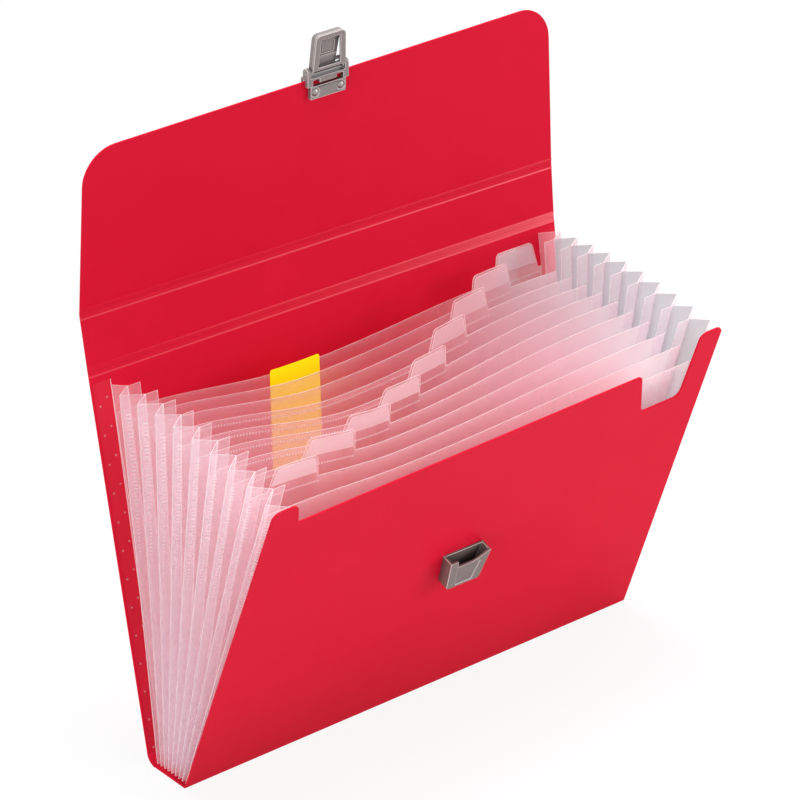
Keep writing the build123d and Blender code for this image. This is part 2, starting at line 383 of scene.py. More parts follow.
# Frosted polypropylene film: almost clear, with a pink tint that is a painted reflection of the red case, and
# painted light that makes it milky along its top edge and towards the right end
frosted = grained(
    "frosted_film_with_painted_light", "#FFDEE6", "#FAD6DF", rough=0.45, grain=1.2, relief=0.02, specular=0.4,
    veil=0.065, painted_light_veil=0.74, painted_light_colour="#FFFCFE",
)

# Frosted film folded into gussets: a soft white haze that still shows the folds behind it
gusset_film = grained(
    "folded_frosted_film", "#FFF3FA", "#FBEDF5", rough=0.45, grain=1.2, relief=0.02, specular=0.4, veil=0.22
)

# Frosted film on the legs at the right end that face away from the lamps: painted shade, a flat, cool grey
painted_shade_film = grained(
    "frosted_film_in_painted_shade", "#CBC9CE", "#C2C0C5", rough=0.45, grain=1.2, relief=0.02, specular=0.4, veil=0.5
)

# Frosted film on the legs at the right end that face the lamps: painted light, dense and nearly white
painted_light_film = grained(
    "frosted_film_in_painted_light", "#FFFAFD", "#FAF5F8", rough=0.45, grain=1.2, relief=0.02, specular=0.4, veil=0.8
)

# Cut edge of frosted film, where the light inside comes out: a fine white line round every sheet
frosted_edge = grained(
    "cut_edge_of_frosted_film", "#FFFDFD", "#FBF7F8", rough=0.4, grain=1.2, relief=0.02, veil=0.9
)

# Frosted film fused flat to the case, which clears it: little more than a faint bloom on the red
margin_film = grained(
    "film_fused_to_the_case", "#FFF6FD", "#FAF0F8", rough=0.4, grain=1.2, relief=0.02, specular=0.4, veil=0.03
)

# Polypropylene squeezed out by a knurled welding tool: rows of small whitish dots
weld_white = grained(
    "knurled_polypropylene_weld", "#FFFBFC", "#F8F2F4", rough=0.35, grain=1.0, relief=0.02, veil=0.5
)

# Cast polypropylene film without frost, over the tabs: smoother and shinier than the pockets
clear_film = grained(
    "cast_polypropylene_film", "#FFFAFD", "#FAF4F8", rough=0.25, grain=2.0, relief=0.02, veil=0.45
)

# Matt yellow paper with a painted glow: it gives off light of its own, so it shows a brighter yellow than the
# light on it would give
yellow_paper = grained(
    "index_paper_with_painted_glow", "#FFF200", "#FFED00", rough=0.75, grain=0.8, relief=0.2, specular=0.2,
    glow=0.22,
)

# ABS from a finely textured mould: a mid grey with a soft shine, and painted shade in its slots and corners
latch_grey = grained(
    "moulded_grey_abs", "#8D8483", "#807776", rough=0.32, grain=0.9, relief=0.1, painted_shade="#3A3635"
)

# The same ABS in a browner, darker grey, with painted shade in its slots and corners
catch_grey = grained(
    "moulded_brown_grey_abs", "#776865", "#6C5E5B", rough=0.32, grain=0.9, relief=0.1, painted_shade="#38342F"
)

# Hub of the lever, painted a dark grey that stands for the shadow under the lever
hub_painted_shadow = grained(
    "hub_painted_as_shadow", "#322F2E", "#2A2827", rough=0.4, grain=0.9, relief=0.1, painted_shade="#1E1C1B"
)

# Painted highlight along the eased edges of the ABS: a thin bright line along each corner
edge_highlight_paint = grained("painted_highlight_on_abs_edges", "#D5CCC9", "#C8BFBC", rough=0.25, grain=0.9, relief=0.05)

# Zinc-plated steel: a dull, slightly cloudy metal
plated_steel = grained(
    "zinc_plated_steel", "#A5A09D", "#938E8B", rough=0.35, grain=0.7, relief=0.05, metallic=1.0
)


# Sheets


def bow_share(x):
    """Share of the bow across the width: steep at the left of its peak and long at the right."""
    reach = bow_left_reach if x < bow_peak else bow_right_reach
    along = min(1.0, abs(x - bow_peak) / reach)
    return cos(along * pi / 2) ** 2


class Leaf:
    """A sheet that stands on a foot line, leans, and is skewed and bowed out of its plane."""

    def __init__(self, foot, lean, twist=0.0, bow=0.0, carried=Vector()):
        self.foot = Vector((0, *foot))
        self.up = Vector((0, sin(radians(lean)), cos(radians(lean))))
        self.front = Vector((0, -cos(radians(lean)), sin(radians(lean))))
        self.twist = radians(twist)
        self.bow = bow
        self.carried = carried

    def skew_at(self, v):
        """How far the right end is moved at that height; the left end moves as far the other way."""
        return self.carried + v * self.twist * self.front

    def at(self, x, v, w=0.0):
        """Point of the sheet, in metres."""
        bow = self.bow * bow_share(x) * max(0.0, v / divider_height) ** bow_rise
        place = self.foot + v * self.up + (w + bow) * self.front + self.skew_at(v) * x / half_width
        return Vector((x, place.y, place.z)) * MM

    def flatten(self, piece, keep=sheet_keep):
        """Gives the sheet a mesh of its own."""
        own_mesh(piece)


back_foot, front_foot = hinge("back_cover_fold"), hinge("front_cover_fold")
spine_foot, flap_foot = hinge("flap_spine_fold"), hinge("flap_fold")


def rise(low, high):
    """Length and lean of a sheet between two folds."""
    across, up = high[0] - low[0], high[1] - low[1]
    return hypot(across, up), degrees(atan2(across, up))


back_height, back_lean = rise(back_foot, spine_foot)
spine_height, spine_lean = rise(spine_foot, flap_foot)
back_leaf = Leaf(back_foot, back_lean, back_twist)
front_leaf = Leaf(front_foot, -front_lean, front_twist)
spine_leaf = Leaf(spine_foot, spine_lean, spine_twist, carried=back_leaf.skew_at(back_height))
flap_leaf = Leaf(flap_foot, flap_lean, flap_twist, carried=spine_leaf.skew_at(spine_height))

film_level = case_sheet / 2 + film / 2
first_foot = back_leaf.foot + film_level * back_leaf.front
last_foot = front_leaf.foot - film_level * front_leaf.front


def pocket_leaf(number):
    """Sheet between two pockets, counted from the back; the bow fades towards the front."""
    share = number / pocket_count
    foot = first_foot.lerp(last_foot, share)
    lean = back_lean - (back_lean + front_lean) * share
    twist = back_twist + (front_twist - back_twist) * share
    bow = bow_depth * min(1.0, (pocket_count - number) / bow_fade)
    return Leaf((foot.y, foot.z), lean, twist, bow)


leaves = [pocket_leaf(number) for number in range(pocket_count + 1)]


def sheet_body(number):
    """Body that a pocket sheet rides on."""
    if number == 0:
        return "back_cover"
    if number == pocket_count:
        return "front_cover"
    return f"divider_{number:02d}"


# Meshes


def round_corners(corners, steps=6):
    """Outline through corners (x, v, radius), with an arc of a few steps where the radius isn't zero."""
    line = []
    for i, (x, v, radius) in enumerate(corners):
        here = Vector((x, v))
        if radius == 0:
            line.append(here)
            continue
        before = (Vector(corners[i - 1][:2]) - here).normalized()
        after = (Vector(corners[i + 1][:2]) - here).normalized()
        half_angle = before.angle(after) / 2
        centre = here + (before + after).normalized() * radius / sin(half_angle)
        start = here + before * radius / tan(half_angle) - centre
        turn = start.angle_signed(here + after * radius / tan(half_angle) - centre)
        for step in range(steps + 1):
            line.append(centre + Matrix.Rotation(-turn * step / steps, 2) @ start)
    return line


def filled(line, spacing):
    """The same line with points added, so that none lie further apart than the spacing across the width."""
    result = [line[0]]
    for point in line[1:]:
        count = max(1, round((point.x - result[-1].x) / spacing))
        start = result[-1]
        result += [start.lerp(point, i / count) for i in range(1, count + 1)]
    return result


def new_piece(name, points, faces, materials, body, face_materials=None, smooth=True):
    """A mesh of points and faces, as an object that rides on a body."""
    mesh = bpy.data.meshes.new(name)
    mesh.from_pydata([tuple(point) for point in points], [], faces)
    for material in materials:
        mesh.materials.append(material)
    if face_materials:
        mesh.polygons.foreach_set("material_index", face_materials)
    mesh.polygons.foreach_set("use_smooth", [smooth] * len(mesh.polygons))
    mesh.update()
    piece = bpy.data.objects.new(name, mesh)
    bpy.context.scene.collection.objects.link(piece)
    if body:
        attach(piece, body)
    return piece


def grid_faces(rows, columns, first=0):
    """Faces between the points of a grid, listed row by row."""
    corner = [(r, c) for r in range(rows - 1) for c in range(columns - 1)]
    return [
        (first + r * columns + c, first + r * columns + c + 1,
         first + (r + 1) * columns + c + 1, first + (r + 1) * columns + c)
        for r, c in corner
    ]


def paint_light(piece, shares):
    """Share of its painted light at each point of a piece."""
    piece.data.attributes.new("painted_light_share", "FLOAT", "POINT").data.foreach_set("value", shares)


def thicken(piece, thickness, rim_material=0):
    """Gives a sheet its thickness; the rim takes the material that many places further on."""
    solid = piece.modifiers.new("thickness", "SOLIDIFY")
    solid.thickness = thickness * MM
    solid.offset = 0
    solid.material_offset_rim = rim_material
    return solid


def ease_edges(piece, radius, angle=40.0):
    """Rounds the edges that are sharper than an angle."""
    bevel = piece.modifiers.new("eased_edges", "BEVEL")
    bevel.width = radius * MM
    bevel.segments = 2
    bevel.limit_method = "ANGLE"
    bevel.angle_limit = radians(angle)
    bevel.harden_normals = True
    return bevel


def upright_grid(leaf, top, foot, levels, w=0.0):
    """Points of a sheet from a foot height to its top line, at shares of the height between them."""
    return [leaf.at(x, foot + (v - foot) * share, w) for share in levels for x, v in top]


def even_levels(count):
    """Shares from 0 to 1 in equal steps."""
    return [i / count for i in range(count + 1)]


def straight_top(height, spacing):
    """Level line across the case."""
    return filled([Vector((-half_width, height)), Vector((half_width, height))], spacing)


# Case


def crease_painted_sheen(x):
    """Share of the painted sheen on a crease, which grows towards the right end."""
    return min(1.0, max(0.0, (x - crease_sheen_start) / (crease_sheen_end - crease_sheen_start)))


def case_panel(name, leaf, body, top, levels, foot=0.0, bands=(), painted_sheen_band=None):
    """Stiff panel of the case.

    The bands are the height ranges of its scored creases.  One may carry a painted sheen towards its right
    end.
    """
    points = upright_grid(leaf, top, foot, levels)
    faces = grid_faces(len(levels), len(top))
    columns = len(top) - 1
    tones = []
    for row in range(len(levels) - 1):
        middle = foot + (top[0].y - foot) * (levels[row] + levels[row + 1]) / 2
        tones += [int(any(low < middle < high for low, high in bands))] * columns
    piece = new_piece(name, points, faces, [red_sheet, red_crease], body, tones)
    if painted_sheen_band:
        low, high = painted_sheen_band
        heights = [foot + (top[0].y - foot) * level for level in levels]
        sheened_rows = [low - score_width < height < high + score_width for height in heights]
        paint_light(piece, [crease_painted_sheen(x) ** crease_sheen_power if row else 0.0 for row in sheened_rows for x, v in top])
    leaf.flatten(piece)
    thicken(piece, case_sheet)
    ease_edges(piece, edge_radius)
    return piece


def score_ridge(name, leaf, body, height, left, right):
    """Pressed bead along a score line, on the inside of the case, with a painted sheen that runs from a left
    share to a right share.
    """
    xs = [point.x for point in straight_top(0.0, fold_spacing)]
    section = [
        (-score_width, 0.0),
        (-score_width / 3, score_height),
        (score_width / 3, score_height),
        (score_width, 0.0),
    ]
    points = [leaf.at(x, height + dv, case_sheet / 2 + dw) for dv, dw in section for x in xs]
    points += [leaf.at(x, height + dv, 0.0) for dv in (score_width, -score_width) for x in xs]
    rows = len(section) + 2
    columns = len(xs)
    faces = grid_faces(rows, columns)
    last = (rows - 1) * columns
    faces += [(last + c, last + c + 1, c + 1, c) for c in range(columns - 1)]
    faces.append(tuple(r * columns for r in range(rows)))
    faces.append(tuple(r * columns + columns - 1 for r in reversed(range(rows))))
    piece = new_piece(name, points, faces, [red_crease], body, smooth=False)
    paint_light(piece, [left + (right - left) * crease_painted_sheen(x) for _ in range(rows) for x in xs])
    leaf.flatten(piece, score_keep)
    return piece


def corner_reach(lean, radius):
    """How far the rounded fold at the base reaches up a panel that leans outwards."""
    return radius * tan(radians(90 - lean) / 2)


back_reach = corner_reach(back_lean, back_corner_radius)
front_reach = corner_reach(front_lean, front_corner_radius)

back_top = straight_top(back_height, panel_spacing)
back_crease = (back_height - score_offset, back_height)
back_levels = [*even_levels(panel_rows)[:-1], 0.95, 1 - score_offset / (back_height - back_reach), 1.0]
back_piece = case_panel(
    "back_cover_panel", back_leaf, "back_cover", back_top, back_levels, back_reach,
    bands=[back_crease], painted_sheen_band=back_crease,
)
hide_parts("back_panel", "flap_lower_crease")

spine_levels = [0.0, score_offset / spine_height, 0.3, 0.5, 0.7, 1 - score_offset / spine_height, 1.0]
spine_top = straight_top(spine_height, panel_spacing)
low_crease = (0, score_offset)
high_crease = (spine_height - score_offset, spine_height)
spine_piece = case_panel(
    "flap_spine_panel", spine_leaf, "flap_spine", spine_top, spine_levels,
    bands=[low_crease, high_crease], painted_sheen_band=low_crease,
)
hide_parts("flap_spine", "flap_upper_crease")

flap_line = round_corners(
    [
        (-half_width, 0.0, 0.0),
        (-half_width, flap_height, flap_corner),
        (half_width, flap_height, flap_corner),
        (half_width, 0.0, 0.0),
    ],
    10,
)[1:-1]
flap_top = filled(flap_line, panel_spacing)
flap_side = flap_top[0].y
flap_levels = [0.0, score_offset / flap_side, *even_levels(panel_rows)[1:]]
flap_piece = case_panel(
    "flap_cover", flap_leaf, "flap", flap_top, flap_levels, bands=[low_crease]
)
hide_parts("flap_panel")

rim = front_height - ear_drop
notch_right = half_width - ear_width
notch_left = notch_right - notch_width
notch_floor = rim - notch_depth
front_line = round_corners(
    [
        (-half_width, 0.0, 0.0),
        (-half_width, front_height, ear_corner),
        (ear_width - half_width, front_height, ear_corner),
        (ear_width + ear_flare - half_width, rim, 0.0),
        (notch_left, rim, rim_corner),
        (notch_left + notch_slope, notch_floor, notch_corner),
        (notch_right - notch_wall_slope, notch_floor, notch_corner),
        (notch_right, front_height, ear_corner),
        (half_width, front_height, ear_corner),
        (half_width, 0.0, 0.0),
    ]
)[1:-1]
front_top = filled(front_line, panel_spacing)
front_piece = case_panel(
    "front_cover_panel", front_leaf, "front_cover", front_top, even_levels(panel_rows), front_reach
)
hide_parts("front_panel")

for label, leaf, body, height, left, right in (
    ("back_score", back_leaf, "back_cover", back_height - score_offset, lower_score_sheen, 1.0),
    ("spine_low_score", spine_leaf, "flap_spine", score_offset, 0.0, 1.0),
    ("spine_high_score", spine_leaf, "flap_spine", spine_height - score_offset, lower_score_sheen, 1.0),
    ("flap_score", flap_leaf, "flap", score_offset, 0.0, upper_score_sheen),
):
    score_ridge(label, leaf, body, height, left, right)


def base_corner(name, leaf, lean, sign, radius):
    """Rounded fold between the base and a panel."""
    turn = radians(90 - lean)
    centre = leaf.foot + Vector((0, -sign * corner_reach(lean, radius), radius))
    steps = 6
    xs = [point.x for point in straight_top(0.0, fold_spacing)]
    section = [
        centre + radius * Vector((0, sign * sin(turn * i / steps), -cos(turn * i / steps)))
        for i in range(steps + 1)
    ]
    points = [Vector((x, place.y, place.z)) * MM for place in section for x in xs]
    faces = grid_faces(steps + 1, len(xs))
    piece = new_piece(name, points, faces, [red_sheet], None)
    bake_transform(piece)
    thicken(piece, case_sheet)
    return piece


back_fold = base_corner(
    "base_back_fold", back_leaf, back_lean, 1, back_corner_radius
)
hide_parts("base_back_crease")
front_fold = base_corner(
    "base_front_fold", front_leaf, front_lean, -1, front_corner_radius
)
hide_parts("base_front_crease")

base_ys = [front_foot[0] + front_reach, 0.0, back_foot[0] - back_reach]
base_xs = [point.x for point in straight_top(0.0, base_spacing)]
base_points = [Vector((x, y, back_foot[1])) * MM for y in base_ys for x in base_xs]
base_piece = new_piece(
    "base_floor", base_points, grid_faces(len(base_ys), len(base_xs)), [red_sheet], "base"
)
thicken(base_piece, case_sheet)
ease_edges(base_piece, edge_radius)
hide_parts("base_spine")


# Pocket sheets


def tab_line(centre, height, top_width, base_width, top, corner):
    """Top edge of a sheet that rises to a rounded tab."""
    return [
        (centre - base_width / 2, height, 0.0),
        (centre - top_width / 2, top, corner),
        (centre + top_width / 2, top, corner),
        (centre + base_width / 2, height, 0.0),
    ]


def film_painted_light(x, depth, right_painted_light):
    """Share of the film's painted light: whiter along its top edge, and towards the right end."""
    along = min(1.0, max(0.0, (x - painted_light_start) / (painted_light_end - painted_light_start)))
    return max(edge_painted_light * exp(-depth / edge_fade), right_painted_light * along * along)


def film_sheet(
    name, leaf, body, corners, foot,
    rows=film_rows, thickness=film, w=0.0, material=frosted, edge=frosted_edge, right_painted_light=1.0,
):
    """Upright sheet under a line of corners; its rows lie closer towards the top, where its painted light is
    strongest.
    """
    top = filled(round_corners(corners), film_spacing)
    levels = [1 - (1 - share) ** 2 for share in even_levels(rows)]
    points = upright_grid(leaf, top, foot, levels, w=w)
    faces = grid_faces(len(levels), len(top))
    piece = new_piece(name, points, faces, [material, edge], body, smooth=False)
    spots = [(x, (v - foot) * (1 - share)) for share in levels for x, v in top]
    paint_light(piece, [film_painted_light(x, depth, right_painted_light) for x, depth in spots])
    leaf.flatten(piece)
    thicken(piece, thickness, 1)
    return piece


tab_count = pocket_count - 1
tab_step = (last_tab - first_tab) / (tab_count - 1)
for number, leaf in enumerate(leaves):
    body = sheet_body(number)
    corners = [(-half_pocket, divider_height, 0.0), (half_pocket, divider_height, 0.0)]
    centre = first_tab + tab_step * number
    if number < tab_count:
        tab_top = divider_height + tab_height
        corners[1:1] = tab_line(centre, divider_height, tab_top_width, tab_base_width, tab_top, tab_corner)
    right_painted_light = front_painted_light if number == pocket_count else 1.0
    piece = film_sheet(f"pocket_sheet_{number:02d}", leaf, body, corners, sheet_start, right_painted_light=right_painted_light)
    if number == 0:
        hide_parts("bellows_back_sheet")
    elif number == pocket_count:
        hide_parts("bellows_front_sheet")
    else:
        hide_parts(f"pocket_divider_{number:02d}")
    if number < tab_count:
        sleeve_top = divider_height + tab_height - sleeve_margin
        half_top = tab_top_width / 2 - sleeve_margin
        half_foot = sleeve_width / 2
        low = sleeve_top - sleeve_height
        sleeve = [
            (centre - half_foot, low + sleeve_side, 0.0),
            (centre - half_top, sleeve_top, tab_corner - sleeve_margin),
            (centre + half_top, sleeve_top, tab_corner - sleeve_margin),
            (centre + half_foot, low + sleeve_side, 0.0),
        ]
        level = film / 2 + sleeve_film / 2
        piece = film_sheet(
            f"tab_sleeve_{number + 1:02d}", leaf, body, sleeve, low,
            sleeve_rows, sleeve_film, level, clear_film,
        )
        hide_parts(f"index_sleeve_{number + 1:02d}")

slip_top = divider_height + slip_rise
slip_foot = slip_top - slip_height
slip_left = slip_centre - slip_width / 2
slip_right = slip_centre + slip_width / 2
slip_line = [
    (slip_left, slip_foot + slip_side, 0.0),
    (slip_left + slip_taper, slip_top, slip_corner),
    (slip_right - slip_taper, slip_top, slip_corner),
    (slip_right, slip_foot + slip_side, 0.0),
]
slip_piece = film_sheet(
    "yellow_slip", leaves[0], "back_cover", slip_line, slip_foot,
    slip_rows, slip_paper, film / 2 + slip_paper / 2, yellow_paper, yellow_paper,
)
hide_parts("index_slip")


# Gusset pleats


def outer_fold(number, side, v):
    """Point on the outward fold between two pocket sheets; the first pleat at the left is a shallow one."""
    depth = first_left_pleat if (number, side) == (0, -1) else pleat_depth
    x = side * (half_pocket + depth)
    return (leaves[number].at(x, v) + leaves[number + 1].at(x, v)) / 2


def on_leg(number, other, side, share, v):
    """Point on the gusset leg from a sheet's end to the outward fold, at a share of the way."""
    return leaves[number].at(side * half_pocket, v).lerp(outer_fold(other, side, v), share)


# Each film is followed by the finish of its cut edge
pleat_films = [gusset_film, frosted_edge, painted_shade_film, frosted_edge]
pleat_films += [painted_light_film, frosted_edge, margin_film, frosted_edge]
plain_leg, painted_shade_leg, painted_light_leg, welded_leg = 0, 2, 4, 6
gusset_heights = [sheet_start + (gusset_height - sheet_start) * share for share in even_levels(film_rows)]


def leg_film(number, other, side):
    """Place in the list of the film that a leg shows; at the right end, painted shade on the legs that face
    away from the lamps and painted light on the others.
    """
    if side < 0:
        return welded_leg if number == 0 else plain_leg
    if number == 0:
        return plain_leg
    return painted_shade_leg if other == number else painted_light_leg


def pleat_ends(number):
    """The gusset legs that hang on both ends of one sheet, with the flange that is welded to it."""
    leaf = leaves[number]
    points, faces, tones = [], [], []
    for side in (-1, 1):
        for other in (number - 1, number):
            if not 0 <= other < pocket_count:
                continue
            first = len(points)
            for v in gusset_heights:
                points += [on_leg(number, other, side, share, v) for share in (0, 0.5, 1)]
            faces += grid_faces(len(gusset_heights), 3, first)
            tones += [leg_film(number, other, side)] * (len(faces) - len(tones))
        if number in (0, pocket_count):
            continue
        first = len(points)
        for v in gusset_heights:
            points += [leaf.at(side * (half_pocket - inset), v, film) for inset in (0, flange_width)]
        faces += grid_faces(len(gusset_heights), 2, first)
        tones += [plain_leg] * (len(faces) - len(tones))
    piece = new_piece(
        f"pleat_ends_{number:02d}", points, faces, pleat_films, sheet_body(number), tones,
        smooth=False,
    )
    leaf.flatten(piece, pleat_keep)
    thicken(piece, film, 1)
    return piece


# The CAD gussets hang on the sheets behind them up to the middle one, and then on the sheets in front of them
middle_sheet = pocket_count // 2
for number in range(pocket_count + 1):
    piece = pleat_ends(number)
    pleat = number + 1 if number <= middle_sheet else number
    if number != middle_sheet + 1:
        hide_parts(f"gusset_left_{pleat:02d}", f"gusset_right_{pleat:02d}")


# Welds


def add_ridge(points, faces, quad, out):
    """A small pressed ridge, which is a tapered block on four corners."""
    first = len(points)
    middle = sum(quad, Vector()) / 4
    points += quad
    points += [corner.lerp(middle, weld_taper) + out for corner in quad]
    faces.append((first + 3, first + 2, first + 1, first))
    faces.append((first + 4, first + 5, first + 6, first + 7))
    for i in range(4):
        j = (i + 1) % 4
        faces.append((first + i, first + j, first + 4 + j, first + 4 + i))


def steps_between(low, high, pitch):
    """Places from low to high, a pitch apart."""
    count = int((high - low) / pitch)
    return [low + pitch * i for i in range(count + 1)]


def fold_seams(number):
    """Knurled weld seam down a left-hand fold in front of a sheet, which fades out towards its foot."""
    points, faces = [], []
    for v in steps_between(seam_foot, gusset_height - seam_drop, weld_pitch):
        fade = min(1.0, seam_least + (v - seam_foot) / seam_fade)
        inner = seam_end - (seam_end - seam_start) * fade
        tall = weld_width * fade
        quad = [
            on_leg(number + 1, number, -1, share, v + dv)
            for share, dv in ((inner, 0), (seam_end, 0), (seam_end, tall), (inner, tall))
        ]
        out = (quad[1] - quad[0]).cross(quad[3] - quad[0]).normalized()
        if out.x > 0:
            out = -out
        raised = [corner + out * film / 2 * MM for corner in quad]
        add_ridge(points, faces, raised, out * weld_height * MM)
    piece = new_piece(
        f"fold_seams_{number:02d}", points, faces, [weld_white], sheet_body(number + 1),
        smooth=False,
    )
    leaves[number + 1].flatten(piece, pleat_keep)


def tab_weld(number):
    """Knurled weld line under a sheet's top edge, from its left end to just past its tab."""
    leaf = leaves[number]
    points, faces = [], []
    end = min(half_pocket, first_tab + tab_step * number + tab_base_width / 2)
    low = divider_height - line_drop - line_height
    start = flange_width - half_pocket if number >= first_line else end - tab_base_width
    for x in steps_between(start, end, line_pitch):
        quad = [
            leaf.at(x + dx, low + dv, film / 2)
            for dx, dv in ((0, 0), (weld_width, 0), (weld_width, line_height), (0, line_height))
        ]
        add_ridge(points, faces, quad, leaf.front * weld_height * MM)
    piece = new_piece(
        f"tab_weld_{number:02d}", points, faces, [weld_white], sheet_body(number),
        smooth=False,
    )
    leaf.flatten(piece, ridge_keep)


def case_margin(number, level):
    """Film margins that are spot-welded to the inside of the case, beside its first or last sheet."""
    leaf = leaves[number]
    points, faces = [], []
    for side in (-1, 1):
        first = len(points)
        for v in gusset_heights:
            points += [leaf.at(side * (half_pocket + reach), v, level) for reach in (0, margin_reach)]
        faces += grid_faces(len(gusset_heights), 2, first)
    piece = new_piece(
        f"case_margin_{number:02d}", points, faces, [margin_film], sheet_body(number),
        smooth=False,
    )
    leaf.flatten(piece)
    thicken(piece, film)


def margin_spots():
    """Pairs of spot welds up the back margins."""
    leaf = leaves[0]
    points, faces = [], []
    for side in (-1, 1):
        for v in steps_between(spot_pitch / 2, gusset_height - spot_radius, spot_pitch):
            for inset, raised in ((outer_spot_inset, 0.0), (inner_spot_inset, spot_pitch / 4)):
                centre = side * (half_pocket + margin_reach - inset)
                quad = [
                    leaf.at(centre + spot_radius * dx, v + raised + spot_radius * dv, film / 2)
                    for dx, dv in ((-1, 0), (0, -1), (1, 0), (0, 1))
                ]
                add_ridge(points, faces, quad, leaf.front * weld_height * MM)
    piece = new_piece("margin_spots", points, faces, [weld_white], "back_cover", smooth=False)
    leaf.flatten(piece, ridge_keep)


for number in range(1, pocket_count):
    fold_seams(number)
for number in range(tab_count):
    tab_weld(number)
case_margin(0, -margin_level)
case_margin(pocket_count, margin_level)
margin_spots()


# Latch and catch

# Finishes of the CAD latch and catch; their eased edges take the second material, which on the ABS parts is a
# painted highlight
for node, finish, edge in (
    ("latch_bracket", latch_grey, edge_highlight_paint),
    ("latch_clamp_plate", latch_grey, edge_highlight_paint),
    ("catch_housing", catch_grey, edge_highlight_paint),
    ("latch_rivet_left", plated_steel, plated_steel),
    ("latch_rivet_right", plated_steel, plated_steel),
    ("latch_pin", plated_steel, plated_steel),
):
    part = frame["nodes"][node]
    part.data.materials.clear()
    part.data.materials.append(finish)
    part.data.materials.append(edge)
    part.modifiers.new("joined_faces", "WELD").merge_threshold = joined_gap * MM
    eased = ease_edges(part, latch_edge_radius, latch_edge_angle)
    eased.use_clamp_overlap = False
    eased.material = 1


pin = Vector(joints["latch_lever_swing"]["pos_m"]) / MM
lever_leaf = Leaf((pin.y, pin.z), -lever_lean)


def add_plate(points, faces, tones, outlines, back, front):
    """A moulded plate with openings.  Its eased edges, the faces that slant, have the second tone, a painted
    highlight.
    """
    curve = bpy.data.curves.new("plate", "CURVE")
    curve.dimensions = "2D"
    curve.fill_mode = "BOTH"
    curve.bevel_depth = lever_edge
    curve.bevel_resolution = 1
    curve.offset = -lever_edge
    curve.extrude = (front - back) / 2 - lever_edge
    for outline in outlines:
        spline = curve.splines.new("POLY")
        spline.points.add(len(outline) - 1)
        for place, (x, height) in zip(spline.points, outline):
            place.co = (x, height, 0.0, 1.0)
        spline.use_cyclic_u = True
    holder = bpy.data.objects.new("plate", curve)
    mesh = bpy.data.meshes.new_from_object(holder)
    first = len(points)
    middle = (front + back) / 2
    points += [lever_leaf.at(spot.co.x, spot.co.y, middle + spot.co.z) for spot in mesh.vertices]
    for face in mesh.polygons:
        faces.append(tuple(first + i for i in face.vertices))
        tones.append(int(0.2 < abs(face.normal.z) < 0.95))
    bpy.data.objects.remove(holder)
    bpy.data.curves.remove(curve)
    bpy.data.meshes.remove(mesh)


def add_turned(points, faces, tones, profile, height, level, tone, sides=32):
    """A turned piece along the width, from a profile of (x, radius)."""
    first = len(points)
    for x, radius in profile:
        for i in range(sides):
            angle = 2 * pi * i / sides
            points.append(lever_leaf.at(x, height + radius * cos(angle), level + radius * sin(angle)))
    for ring in range(len(profile) - 1):
        for i in range(sides):
            low, high = first + ring * sides, first + (ring + 1) * sides
            j = (i + 1) % sides
            faces.append((low + i, low + j, high + j, high + i))
    faces.append(tuple(first + i for i in reversed(range(sides))))
    last = first + (len(profile) - 1) * sides
    faces.append(tuple(last + i for i in range(sides)))
    tones += [tone] * (len(faces) - len(tones))


def mirrored(half_line):
    """Closed outline from the corners of its right half, listed downwards."""
    left = [(-x, height, radius) for x, height, radius in half_line]
    return round_corners([left[-1], *reversed(left[:-1]), *half_line], 4)


face_outline = mirrored(
    [(lever_top_half, lever_height, lever_corner), (lever_foot_half, lever_foot, 0.0)]
)
window_outline = mirrored(
    [(window_top_half, window_top, 0.0), (window_foot_half, window_foot, 0.0)]
)
wall_outline = mirrored(
    [
        (lever_top_half, lever_height, lever_corner),
        (lever_foot_half, -lever_wall, 0.0),
        (lever_foot_half - lever_wall, -lever_wall, 0.0),
        (lever_top_half - lever_wall, lever_height - lever_wall, 0.0),
    ]
)
tongue_outline = mirrored(
    [(tongue_top_half, tongue_top, 0.0), (tongue_foot_half, tongue_foot, 0.0)]
)
slit_outline = mirrored(
    [
        (slit_half - slit_width, slit_foot + slit_width, 0.0),
        (slit_half - slit_width, slit_top, 0.0),
        (slit_half, slit_top, 0.0),
        (slit_half, slit_foot, 0.0),
    ]
)
lip_half = slit_half + lip_margin
lip_top = slit_foot - lip_drop
lip_outline = mirrored([(lip_half, lip_top, 0.0), (lip_half, lip_top - lip_height, 0.0)])
backing_half = slit_half + backing_margin
backing_outline = mirrored(
    [(backing_half, slit_top + backing_margin, 0.0), (backing_half, slit_foot - backing_margin, 0.0)]
)
points, faces, tones = [], [], []
add_plate(points, faces, tones, [face_outline, window_outline], lever_face, lever_front)
add_plate(points, faces, tones, [wall_outline], lever_back, lever_face + wall_overlap)
add_plate(points, faces, tones, [tongue_outline, slit_outline], -tongue_level, tongue_level)
add_plate(points, faces, tones, [backing_outline], -2 * tongue_level, 0.0)
add_plate(points, faces, tones, [lip_outline], 0.0, 2 * tongue_level)
hub_end = lever_foot_half + hub_overhang
collar = hub_end - collar_width
neck_radius = hub_radius - collar_step
hub_profile = [
    (-hub_end, hub_radius),
    (-collar, hub_radius),
    (-collar, neck_radius),
    (collar, neck_radius),
    (collar, hub_radius),
    (hub_end, hub_radius),
]
# The hub takes the third material, painted dark grey as the shadow under the lever
add_turned(points, faces, tones, hub_profile, 0.0, 0.0, 2)
for side in (-1, 1):
    ends = sorted((side * (tongue_foot_half - peg_overlap), side * (lever_foot_half - lever_wall)))
    add_turned(points, faces, tones, [(x, peg_radius) for x in ends], peg_height, tongue_level, 0)
lever_piece = new_piece(
    "snap_lever", points, faces, [latch_grey, edge_highlight_paint, hub_painted_shadow], "latch_lever", tones,
    smooth=False,
)
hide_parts("latch_lever")


# Stage

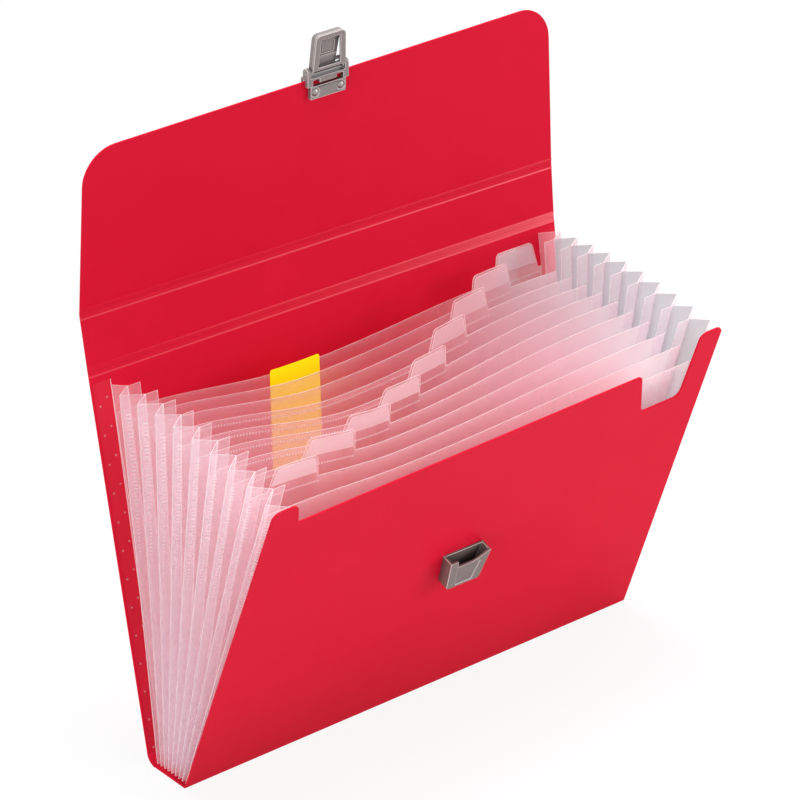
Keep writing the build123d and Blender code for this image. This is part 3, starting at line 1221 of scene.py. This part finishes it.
scene = bpy.context.scene
camera_data = bpy.data.cameras.new("camera")
camera_data.lens = lens
camera_data.sensor_width = sensor
camera_data.clip_end = view_reach * MM
camera = bpy.data.objects.new("camera", camera_data)
scene.collection.objects.link(camera)
backward = camera_right.cross(camera_up)
turn = Matrix((camera_right, camera_up, backward)).transposed().to_4x4()
camera.matrix_world = Matrix.Translation(eye * MM) @ turn
scene.camera = camera


def background_share(tree):
    """1 for rays that see the plain white background, and 0 for those that light the object."""
    path = add(tree, "ShaderNodeLightPath")
    seen = path.outputs["Is Camera Ray"]
    for kind in ("Is Glossy Ray", "Is Transmission Ray"):
        either = add(tree, "ShaderNodeMath", {0: seen, 1: path.outputs[kind]}, operation="MAXIMUM")
        seen = either.outputs[0]
    return seen


world = bpy.data.worlds.new("studio")
world.use_nodes = True
scene.world = world
tree = world.node_tree
tree.nodes.clear()
sky = add(tree, "ShaderNodeBackground", {"Color": linear("#FFFFFF"), "Strength": sky_level})
white = add(tree, "ShaderNodeBackground", {"Color": linear("#FFFFFF"), "Strength": 1.0})
shade = add(tree, "ShaderNodeMixShader", {0: background_share(tree), 1: sky.outputs[0], 2: white.outputs[0]})
add(tree, "ShaderNodeOutputWorld", {"Surface": shade.outputs[0]})

floor_mesh = bpy.data.meshes.new("floor")
far = floor_reach * MM
floor_corners = [(-far, -far, 0), (far, -far, 0), (far, far, 0), (-far, far, 0)]
floor_mesh.from_pydata(floor_corners, [], [(0, 1, 2, 3)])
floor = bpy.data.objects.new("floor", floor_mesh)
scene.collection.objects.link(floor)

# Matt backdrop paper: plain white, with the object's soft shadow on it
paper = bpy.data.materials.new("white_backdrop_paper")
paper.use_nodes = True
tree = paper.node_tree
tree.nodes.clear()
matt = add(tree, "ShaderNodeBsdfDiffuse", {"Color": linear("#F2F2F2")})
glow = add(tree, "ShaderNodeEmission", {"Color": linear("#FFFFFF"), "Strength": 1.0})
share = add(tree, "ShaderNodeMath", {0: background_share(tree), 1: floor_white}, operation="MULTIPLY")
cover = add(tree, "ShaderNodeMixShader", {0: share.outputs[0], 1: matt.outputs[0], 2: glow.outputs[0]})
add(tree, "ShaderNodeOutputMaterial", {"Surface": cover.outputs[0]})
floor_mesh.materials.append(paper)


def area_light(name, place, target, width, power):
    """Square soft lamp, with its places and width in metres and its power in watts."""
    data = bpy.data.lights.new(name, "AREA")
    data.shape = "SQUARE"
    data.size = width
    data.energy = power
    lamp = bpy.data.objects.new(name, data)
    lamp.location = place
    lamp.rotation_euler = (Vector(target) - Vector(place)).to_track_quat("-Z", "Y").to_euler()
    scene.collection.objects.link(lamp)
    return lamp


area_light("key_light", (2.2, -1.8, 0.7), (0, 0, 0.15), 1.2, 29.0)
area_light("left_light", (-2.2, -0.65, 0.3), (0, 0, 0.12), 1.0, 21.0)
area_light("right_light", (2.3, 1.3, 0.9), (0.1, 0, 0.2), 1.2, 15.0)
area_light("top_light", (0.15, 0.1, 2.0), (0, -0.02, 0.2), 0.8, 30.0)

scene.view_settings.view_transform = "Standard"
# Light passes through a few dozen faces of film
scene.cycles.transparent_max_bounces = 64
scene.cycles.diffuse_bounces = 6
scene.cycles.max_bounces = 12
